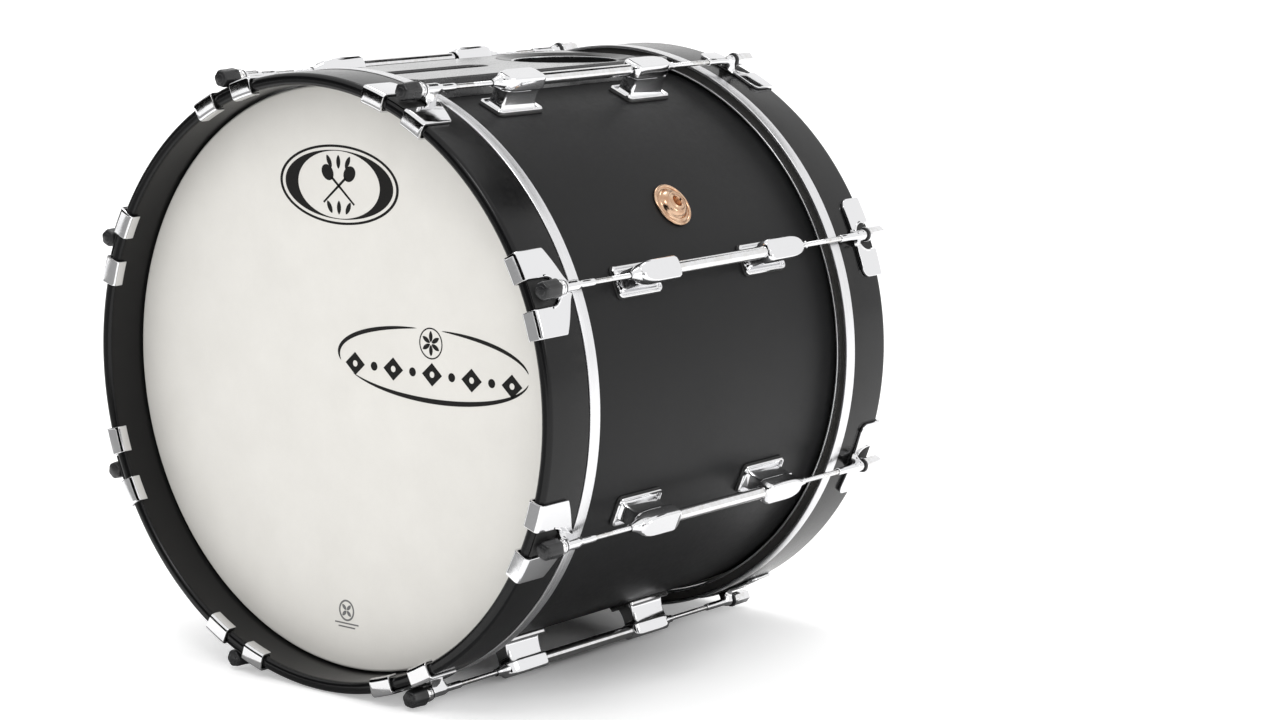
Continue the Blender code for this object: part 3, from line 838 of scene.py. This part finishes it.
def cap_mesh():
    """A moulded cap with six soft corners, closed at its outer end by a raised button."""
    bench = bmesh.new()
    sizes = ((0, 0.80), (0.0005, 0.88), (0.0014, 0.95), (0.0028, 1.0), (0.0120, 1.03), (0.0185, 1.08),
             (0.0192, 1.05), (0.0195, 0.98))
    loops = []
    for deep, size in sizes:
        loop = []
        for i in range(60):
            angle = math.tau * i / 60
            radius = cap_radius * size * (1 + 0.045 * math.cos(6 * angle))
            loop.append((radius * math.cos(angle), radius * math.sin(angle), cap_start + deep))
        loops.append(loop)
    skin_into(bench, loops, along_y)
    button = [(0, -0.0005), (0.0036, -0.0005), (0.0044, -0.0002), (0.0048, 0.0003), (0, 0.0003)]
    turn_into(bench, shifted(button, 0, cap_start), 40, along_y)
    return off_the_bench(bench, "rod_cap", 40)


shared_rod = rod_mesh()
shared_nylon = nylon_mesh()
shared_cap = cap_mesh()
for end_name, side in ends:
    for index, degrees in enumerate(station_degrees, 1):
        body = f"{end_name}_rod_{index}"
        place = claw_place(end_name, degrees) @ Matrix.Translation((rod_line, -rear_shift if side < 0 else 0, 0))
        fitted(body + "_screw", shared_rod, steel, body, [body], place)
        fitted(body + "_ring", shared_nylon, nylon, body, [], place)
        if side > 0:
            fitted(body + "_cap", shared_cap, nylon, body, [], place)


# --------------------
# Top deck. A satin black moulding lies along the top of the shell, flat above and hollowed to
# the shell's curve below. It has a long slot towards the front, and a round opening behind for
# the dish. Four screws from inside the shell hold it.
deck_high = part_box("top_deck")[1]
deck_half_wide = deck_high[0]
deck_half_long = deck_high[1]
deck_top = deck_high[2] - axis_height
deck_corner = 0.010
deck_ease = 0.0018
deck_depth = 0.010
slot_half = 0.013
slot_start = -0.1786
slot_end = -0.0146

deck_black = Finish("satin_black_moulding", 0.35)
deck_black.surface.inputs["Coat Weight"].default_value = 0.6
deck_black.surface.inputs["Coat Roughness"].default_value = 0.14
deck_black.handled(smooth=0.20, rough=0.30, clouds=6.0)
deck_black.pebbly(size=800.0, grain=0.05, wave=0.02)
deck_black.edged(0.5, (0.016, 0.016, 0.017), (0.060, 0.058, 0.055))


def flat_curve(name, outlines, half_thick):
    """A flat curve filled between its outlines, which stands half its thickness to each side."""
    flat = bpy.data.curves.new(name, "CURVE")
    flat.dimensions = "2D"
    flat.fill_mode = "BOTH"
    flat.extrude = half_thick
    for points in outlines:
        line = flat.splines.new("POLY")
        line.points.add(len(points) - 1)
        for point, (x, y) in zip(line.points, points):
            point.co = (x, y, 0, 1)
        line.use_cyclic_u = True
    return flat


def deck_mesh():
    """The moulding: its outline, slot and opening filled and eased, then its underside seated on the shell."""
    outside = [(-v, u) for u, v in rounded_loop(deck_half_long, deck_half_wide, deck_corner, 8)]
    slot = arc((0, slot_end - slot_half), slot_half, 0, 180, 24)
    slot += arc((0, slot_start + slot_half), slot_half, 180, 360, 24)
    opening = arc((0, dish_y), dish_radius + 0.0004, 0, 356.25, 95)
    flat = flat_curve("deck", (outside, slot, opening), deck_depth - deck_ease)
    flat.bevel_depth = deck_ease
    flat.bevel_resolution = 3
    flat.offset = -deck_ease
    bench = bmesh.new()
    bench.from_mesh(settled(on_set("deck", flat)))
    bmesh.ops.remove_doubles(bench, verts=bench.verts, dist=1e-6)
    for strip in range(-14, 15):
        sliced(bench, (strip * 0.005, 0, 0), (1, 0, 0))
    for vertex in bench.verts:
        seat = math.sqrt((shell_radius + 0.0003) ** 2 - min(abs(vertex.co.x), deck_half_wide) ** 2)
        vertex.co.z = axis_height + (deck_top - deck_depth + vertex.co.z if vertex.co.z > 0 else seat)
    return off_the_bench(bench, "deck_moulding", 25)


def dressed(node, finish):
    """Gives a CAD node that is used as it is its finish."""
    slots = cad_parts[node].data.materials
    slots.clear()
    slots.append(finish.material)


fitted("top_deck_moulded", deck_mesh(), deck_black, "drum", ["top_deck"])
for index in range(1, 5):
    dressed(f"deck_screw_{index}", steel)


# --------------------
# Dish. A round gloss black cup is let into the deck: a shallow flared wall, a thin bright ring
# on a ledge, and a deep bowl that passes through the shell.
ring_low, ring_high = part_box("dish_ring")
bowl_radius = (ring_high[0] - ring_low[0]) / 2 - 0.0023
ledge = ring_low[2] - axis_height - 0.0003
bowl_floor = 0.262
cup_wall = 0.0016

dish_gloss = Finish("gloss_black_moulding", 0.2)
dish_gloss.handled(smooth=0.14, rough=0.26, clouds=12.0)
dish_gloss.pebbly(size=500.0, grain=0.15, wave=0.2)
dish_gloss.edged(0.5, (0.010, 0.010, 0.010), (0.05, 0.05, 0.05))

cup_foot = dish_low[2] - axis_height
bowl_round = 0.006
cup = shifted([(0, 0), (0.014, 0), (0.016, 0.0010), (0.019, 0.0010), (0.021, 0)], 0, bowl_floor)
cup += arc((bowl_radius - bowl_round, bowl_floor + bowl_round), bowl_round, -90, 0, 8)
cup += shifted([(0, -0.0004), (0.0003, 0), (0.0026, 0), (0.0026, 0.0008), (0.0034, 0.0014)], bowl_radius, ledge)
cup += shifted([(-0.0040, -0.0011), (-0.0022, -0.0003), (-0.0010, 0), (-0.0003, -0.0003), (0, -0.0010),
                (0, -cup_wall)], dish_radius, deck_top)
cup += shifted([(0.0034, -0.001), (cup_wall, -0.0017)], bowl_radius, ledge)
cup += shifted([(cup_wall, 0.002), (cup_wall - 0.002, 0), (-bowl_radius, 0)], bowl_radius, cup_foot)
in_dish = drum_axis @ Matrix.Translation((0, dish_y, 0))
fitted_turned("dish_cup_moulded", cup, 160, in_dish, dish_gloss, ["dish_cup"])

spun = Finish("spun_metal", 0.25, 1.0)
spun.handled(smooth=0.18, rough=0.32, clouds=60.0)
spun.pebbly(size=1200.0, grain=0.3, wave=0.0)
spun.edged(0.5, (0.62, 0.62, 0.63), (0.45, 0.45, 0.45))
ring = shifted([(0.0023, 0.0018), (0.0023, 0.0003), (-0.0006, 0.0003), (-0.0006, 0.0018)], bowl_radius, ledge)
fitted_turned("dish_ring_spun", eased(ring, 0.0006), 160, in_dish, spun, ["dish_ring"])


# --------------------
# Air vent. A turned brass grommet lets air out of the drum when it is struck. Its domed flange
# sits on the shell, its tube passes through, and a hexagon nut holds it inside.
vent_face = 0.0090
vent_flange = 0.0224
vent_bore = 0.0050

brass = Finish("polished_brass", 0.16, 1.0)
brass.handled(smooth=0.10, rough=0.26, clouds=70.0)
brass.pebbly(size=900.0, grain=0.3, wave=0.1)
tarnish = spread(brass.tree, noise(brass.tree, spot(brass.tree), 120.0, 4.0), 0.35, 0.65, 0.0, 1.0)
brass.blended(tarnish, (0.70, 0.49, 0.34), (0.50, 0.30, 0.19))
grommet = [(vent_bore, -0.014), (0.0067, -0.014), (0.0067, 0.0003)]
grommet += shifted([(-0.0008, 0.0003), (0, 0.0008), (-0.0001, 0.0020), (-0.0008, 0.0027), (-0.0018, 0.0029),
                    (-0.0026, 0.0025), (-0.0031, 0.0014)], vent_flange, 0)
grommet += [(0.0176, 0.0012), (0.0164, 0.0016), (0.0156, 0.0026), (0.0150, 0.0040), (0.0141, 0.0054),
            (0.0128, 0.0067), (0.0112, 0.0077), (0.0098, 0.0082), (0.0090, 0.0078), (0.0080, 0.0079),
            (0.0068, vent_face - 0.0002), (0.0060, vent_face), (vent_bore, vent_face - 0.0012)]
grommet = shifted(grommet, 0, shell_radius)
fitted_turned("vent_grommet_turned", grommet, 96, out_from_axis(vent_degrees), brass, ["vent_grommet"],
              50)
dressed("vent_nut", brass)


# --------------------
# Print on the front head. Plain ornaments in ink on the film: an oval badge with crossed beaters,
# a long oval sweep with lozenges and beads, and a small ring over two rules in grey ink low down.
ink_thick = 0.00012
ink_lift = 0.00003
badge_x, badge_z = -0.002, 0.186
sweep_x, sweep_z = 0.114, 0.027
row_z = 0.0185
crest_x, crest_z = 0.113, 0.0475
mark_x, mark_z = -0.0005, -0.2270

ink = Finish("printed_ink", 0.35)
ink.handled(smooth=0.28, rough=0.42, clouds=30.0)
ink.pebbly(size=1500.0, grain=0.5, wave=0.0)
ink.surface.inputs["Specular IOR Level"].default_value = 0.06
ink.blended(noise(ink.tree, spot(ink.tree), 900.0), (0.010, 0.010, 0.010), (0.022, 0.021, 0.020))

grey_ink = Finish("printed_grey_ink", 0.4)
grey_ink.handled(smooth=0.35, rough=0.48, clouds=30.0)
grey_ink.blended(noise(grey_ink.tree, spot(grey_ink.tree), 900.0), (0.10, 0.10, 0.10), (0.15, 0.15, 0.15))


def leaning(points, x, z, tilt):
    """Points turned by a tilt and set down at a place on the head."""
    lean = math.radians(tilt)
    return [(x + u * math.cos(lean) - v * math.sin(lean), z + u * math.sin(lean) + v * math.cos(lean))
            for u, v in points]


def ellipse(x, z, half_wide, half_high, steps=96):
    turns = [math.tau * i / steps for i in range(steps)]
    return [(x + half_wide * math.cos(a), z + half_high * math.sin(a)) for a in turns]


def oval_ring(x, z, wide, high, line_wide, line_high, steps=96):
    """An oval line, thicker at its sides or at its top and bottom."""
    return [ellipse(x, z, wide, high, steps), ellipse(x, z, wide - line_wide, high - line_high, steps)]


def petal(reach, half_long, half_wide, tilt, steps=16):
    """A leaf shape with pointed ends, some way out along a tilt."""
    turns = [math.pi * i / steps for i in range(steps + 1)]
    flat = [(half_long * math.cos(a), half_wide * math.sin(a) ** 1.5) for a in turns]
    flat += [(-u, -v) for u, v in flat[1:-1]]
    return leaning(flat, 0, reach, tilt)


def printed(name, outlines, finish=ink):
    """Flat ink on the front head. An outline inside another one leaves bare film."""
    mesh = settled(on_set(name, flat_curve(name, outlines, ink_thick / 2)))
    stand_up = Matrix.Rotation(math.pi / 2, 4, "X")
    mesh.transform(drum_axis @ Matrix.Translation((0, film_y - ink_thick / 2 - ink_lift, 0)) @ stand_up)
    fitted(name, mesh, finish, "drum", [])


def beater(x, z, tilt):
    """A soft beater: a thin handle with an egg-shaped head."""
    handle = [(-0.0010, -0.026), (0.0010, -0.026), (0.0013, 0.012), (-0.0013, 0.012)]
    return [leaning(handle, x, z, tilt), leaning(ellipse(0, 0.0185, 0.0068, 0.0084, 32), x, z, tilt)]


def swoosh(x, z, half_wide, half_high, start, end, thick):
    """An arc of an oval whose line swells in the middle and ends in points."""
    outside, inside = [], []
    for i in range(61):
        t = i / 60
        angle = math.radians(start + (end - start) * t)
        swell = thick * math.sin(math.pi * t) ** 0.6 / 2
        u, v = math.cos(angle), math.sin(angle)
        outside.append((x + (half_wide + swell) * u, z + (half_high + swell) * v))
        inside.append((x + (half_wide - swell) * u, z + (half_high - swell) * v))
    return outside + list(reversed(inside))[1:-1]


def flower(name, x, z, count, leaf, first, finish=ink):
    """Leaves round a middle, each printed on its own."""
    for number in range(count):
        printed(f"{name}_{number}", [leaning(leaf, x, z, first + 360 / count * number)], finish)


printed("print_badge_ring", [ellipse(badge_x, badge_z, 0.0770, 0.0375), ellipse(badge_x, badge_z, 0.0738, 0.0352),
                             ellipse(badge_x, badge_z, 0.0700, 0.0325), ellipse(badge_x, badge_z, 0.0530, 0.0318)])
for number, shape in enumerate(beater(badge_x, badge_z - 0.001, 50) + beater(badge_x, badge_z - 0.001, -50)):
    printed(f"print_beater_{number}", [shape])
for number, tilt in enumerate((0, 180)):
    for step in (-1, 0, 1):
        leaf = petal(0.0215, 0.0065, 0.0026, 90 - 28 * step)
        printed(f"print_petal_{number}_{step + 1}", [leaning(leaf, badge_x + 0.012 * step, badge_z, tilt)])

for name, start, end, thick in (("upper_left", 192, 99, 0.0048), ("upper_right", 84, 8, 0.0042),
                                ("lower", 212, 352, 0.0048)):
    printed("print_sweep_" + name, [swoosh(sweep_x, sweep_z, 0.119, 0.0335, start, end, thick)])
printed("print_crest_ring", oval_ring(crest_x, crest_z, 0.0145, 0.0148, 0.0013, 0.0013))
flower("print_crest_petal", crest_x, crest_z, 6, petal(0.0065, 0.0052, 0.0022, 90), 0)
for number in range(9):
    across = sweep_x - 0.098 + 0.0245 * number
    if number % 2:
        printed(f"print_bead_{number}", [ellipse(across, row_z, 0.0042, 0.0042, 32)])
    else:
        lozenge = [(across - 0.0125, row_z), (across, row_z - 0.011), (across + 0.0125, row_z),
                   (across, row_z + 0.011)]
        printed(f"print_lozenge_{number}", [lozenge, ellipse(across, row_z, 0.0030, 0.0030, 24)])

printed("print_mark_ring", oval_ring(mark_x, mark_z + 0.004, 0.0100, 0.0105, 0.0018, 0.0018, 48), grey_ink)
flower("print_mark_petal", mark_x, mark_z + 0.004, 4, petal(0.0042, 0.0036, 0.0018, 90), 45, grey_ink)
for number, half in enumerate((0.0155, 0.0110)):
    low = mark_z - 0.0095 - 0.0035 * number
    bar = [(mark_x - half, low), (mark_x + half, low), (mark_x + half, low + 0.0014), (mark_x - half, low + 0.0014)]
    printed(f"print_mark_rule_{number}", [bar], grey_ink)


# --------------------
# Studio. A pale floor, a white surround, cards, soft lights and the camera. The floor glows a
# little, as painted light that lifts its shadows, except in a patch under the drum, which is left
# dark as a painted contact shadow.
floor_size = 30.0
painted_floor_glow = 0.34
painted_shadow_rim, painted_glow_full = 0.10, 0.24

pale_floor_painted_glow = Finish("pale_floor_painted_glow", 0.6)
pale_floor_painted_glow.colour(0.93, 0.93, 0.93)
# Painted light: the floor's emission lifts its shadows, and it fades to nothing under the drum to paint a contact
# shadow there
pale_floor_painted_glow.surface.inputs["Emission Strength"].default_value = painted_floor_glow
from_middle = plugged(pale_floor_painted_glow.tree, "ShaderNodeVectorMath", {0: spot(pale_floor_painted_glow.tree)})
from_middle.operation = "LENGTH"
pale_floor_painted_glow.feed(spread(pale_floor_painted_glow.tree, from_middle.outputs["Value"], painted_shadow_rim, painted_glow_full, 0.0, 1.0),
                "Emission Color")


def staged(name, data):
    """A piece of the studio, which isn't part of the drum, put in the scene like any other object."""
    made = on_set(name, data)
    return made


def sheet(name, verts, faces, finish):
    mesh = bpy.data.meshes.new(name)
    mesh.from_pydata(verts, [], faces)
    mesh.materials.append(finish.material)
    return staged(name, mesh)


def card(name, verts, faces, finish):
    """A sheet that only polished surfaces see."""
    made = sheet(name, verts, faces, finish)
    made.visible_camera = made.visible_diffuse = False
    made.visible_shadow = made.visible_transmission = False


def rectangle(left, right, near, far, lift):
    return [(left, near, lift), (right, near, lift), (right, far, lift), (left, far, lift)]


sheet("floor", rectangle(-floor_size, floor_size, -floor_size, floor_size, 0), [(0, 1, 2, 3)], pale_floor_painted_glow)

world = bpy.data.worlds.new("studio")
world.use_nodes = True
surround = world.node_tree.nodes["Background"]
surround.inputs["Color"].default_value = (1.0, 1.0, 1.0, 1)
surround.inputs["Strength"].default_value = 1.05
bpy.context.scene.world = world
bpy.context.scene.view_settings.view_transform = "Standard"

shades = {}
for name, tone in (("dark_card", 0.004), ("grey_card", 0.34)):
    shades[name] = Finish(name, 1.0)
    shades[name].colour(tone, tone, tone)
    shades[name].surface.inputs["Specular IOR Level"].default_value = 0.0

# Dark cards stand round the set, each a strip of a cylinder between two angles
for name, first, last, low, high, reach in (
        ("card_front", 184, 318, 0.10, 3.2, 5.0), ("card_side", 330, 350, 0.9, 2.2, 5.4),
        ("card_left", 152, 172, 0.05, 2.4, 5.0), ("card_over", 62, 150, 4.3, 5.6, 5.0)):
    verts = [(x, y, level) for x, y in arc((0, 0), reach, first, last, 12) for level in (low, high)]
    card(name, verts, [(i - 2, i, i + 1, i - 1) for i in range(2, len(verts), 2)], shades["dark_card"])

# Grey cards lie on the floor under the drum and before it. The one under the drum is painted shade: it stands for the
# drum's shadow on the floor where polished surfaces reflect it
card("card_under_painted_shade", rectangle(-0.30, 0.34, -0.30, 0.30, 0.002), [(0, 1, 2, 3)], shades["grey_card"])
card("card_before", rectangle(-2.60, 0.10, -3.60, -0.75, 0.003), [(0, 1, 2, 3)], shades["grey_card"])

target = Vector((0, 0, axis_height))
for name, place, size, power in (("key", (1.0, -1.9, 2.9), 0.8, 14), ("top", (-0.9, 0.9, 3.0), 0.9, 10),
                                 ("side", (3.0, 0.9, 1.3), 0.7, 5)):
    lamp = bpy.data.lights.new(name, "AREA")
    lamp.energy = power
    lamp.size = size
    holder = staged(name, lamp)
    holder.location = place
    holder.rotation_euler = (target - Vector(place)).to_track_quat("-Z", "Y").to_euler()

camera_data = bpy.data.cameras.new("camera")
camera_data.sensor_width = 36.0
camera_data.lens = 89.2
camera = on_set("camera", camera_data)
camera_aim = Vector((-0.6204, 0.7659, -0.1687))
camera.location = (2.0737, -2.3314, 0.5247 + axis_height)
camera.rotation_euler = camera_aim.to_track_quat("-Z", "Y").to_euler()
bpy.context.scene.camera = camera
